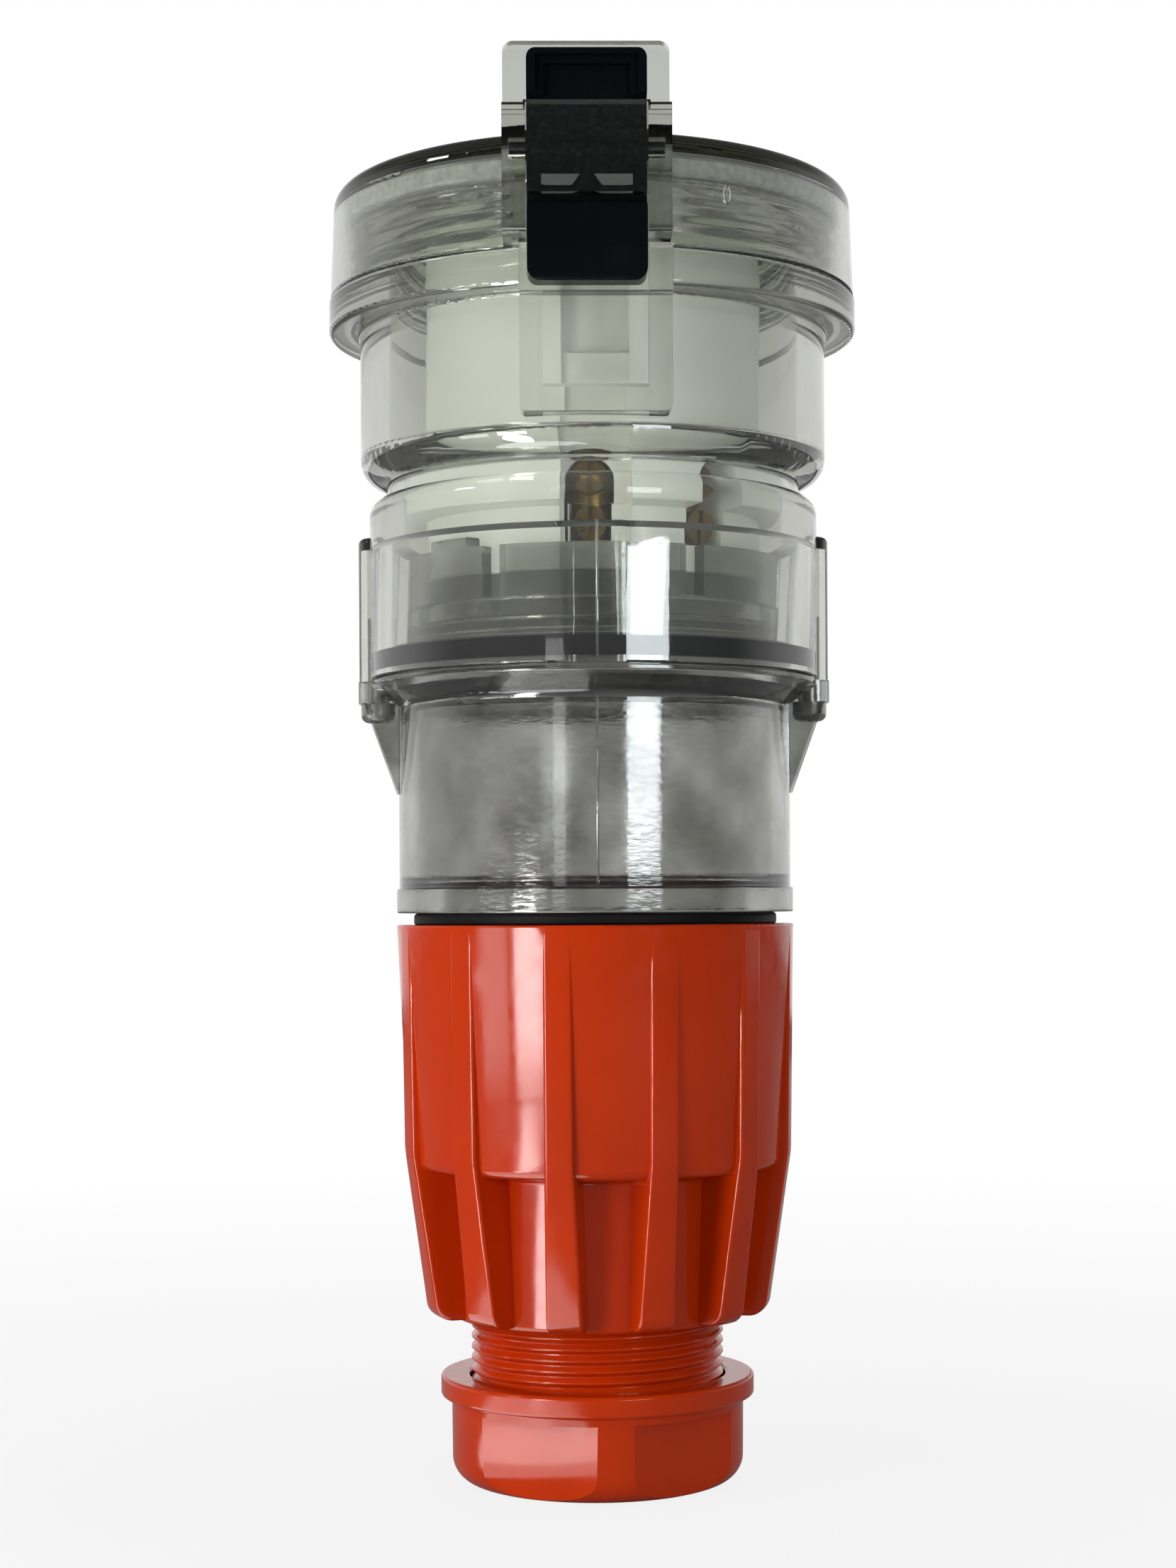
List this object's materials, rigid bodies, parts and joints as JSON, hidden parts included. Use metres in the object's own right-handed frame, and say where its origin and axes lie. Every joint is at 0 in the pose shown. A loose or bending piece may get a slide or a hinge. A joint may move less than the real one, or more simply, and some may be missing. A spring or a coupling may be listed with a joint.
{
  "type": "extension socket",
  "caption": "Weatherproof extension socket with a clear threaded body, hinged clear flap and black latch, white contact insert, ribbed orange back shell and cable gland nut.",
  "frame": {"origin": "centre of the gland nut's bottom face, on the cable axis", "axes": "+Z along the cable axis towards the flap, -Y towards the latch, +Y towards the flap hinge, +X to the right seen from the latch"},
  "size_m": [0.0738, 0.0878, 0.1912],
  "materials": {
    "clear_plastic": "clear moulded, slightly smoky",
    "white_plastic": "moulded, satin",
    "grey_plastic": "moulded, satin",
    "brass": "plain, slightly dull",
    "steel": "plain",
    "black_rubber": "moulded",
    "frosted_rubber": "translucent, frosted",
    "orange_plastic": "moulded, glossy",
    "washer_plastic": "moulded",
    "black_plastic": "moulded, glossy"
  },
  "bodies": {
    "housing": {"front_housing": "clear_plastic", "rear_housing": "clear_plastic", "socket_insert": "white_plastic", "contact_active": "brass", "contact_neutral": "brass", "contact_earth": "brass", "terminal_screws": "brass", "contact_retainer": "grey_plastic", "retainer_screws": "steel", "body_seal": "black_rubber", "body_screws": "steel", "back_seal": "black_rubber", "back_shell": "orange_plastic", "gland_seal": "black_rubber", "hinge_pin": "steel"},
    "flap": {"flap_cap": "clear_plastic", "flap_seal": "frosted_rubber"},
    "latch": {"latch": "black_plastic"},
    "gland_washer": {"gland_washer": "washer_plastic"},
    "gland_nut": {"gland_nut": "orange_plastic"}
  },
  "joints": [
    {"name": "flap_hinge", "type": "hinge", "parent": "housing", "child": "flap", "pos_m": [0, 0.0406, 0.1632], "axis": [-1, 0, 0], "range_deg": [0, 150]},
    {"name": "latch_rock", "type": "hinge", "parent": "flap", "child": "latch", "pos_m": [-0.00117, -0.0402, 0.176], "axis": [-1, 0, 0], "range_deg": [0, 10], "stiffness_Nm_per_rad": 0.05},
    {"name": "gland_advance", "type": "slide", "parent": "housing", "child": "gland_washer", "axis": [0, 0, 1], "range_m": [-0.003, 0.0045]},
    {"name": "gland_turn", "type": "hinge", "parent": "gland_washer", "child": "gland_nut", "pos_m": [0, 0, 0], "axis": [0, 0, 1], "range_deg": [-720, 1080]}
  ],
  "couplings": [
    {"joint": "gland_advance", "follows": "gland_turn", "m_per_rad": 0.00023873}
  ]
}
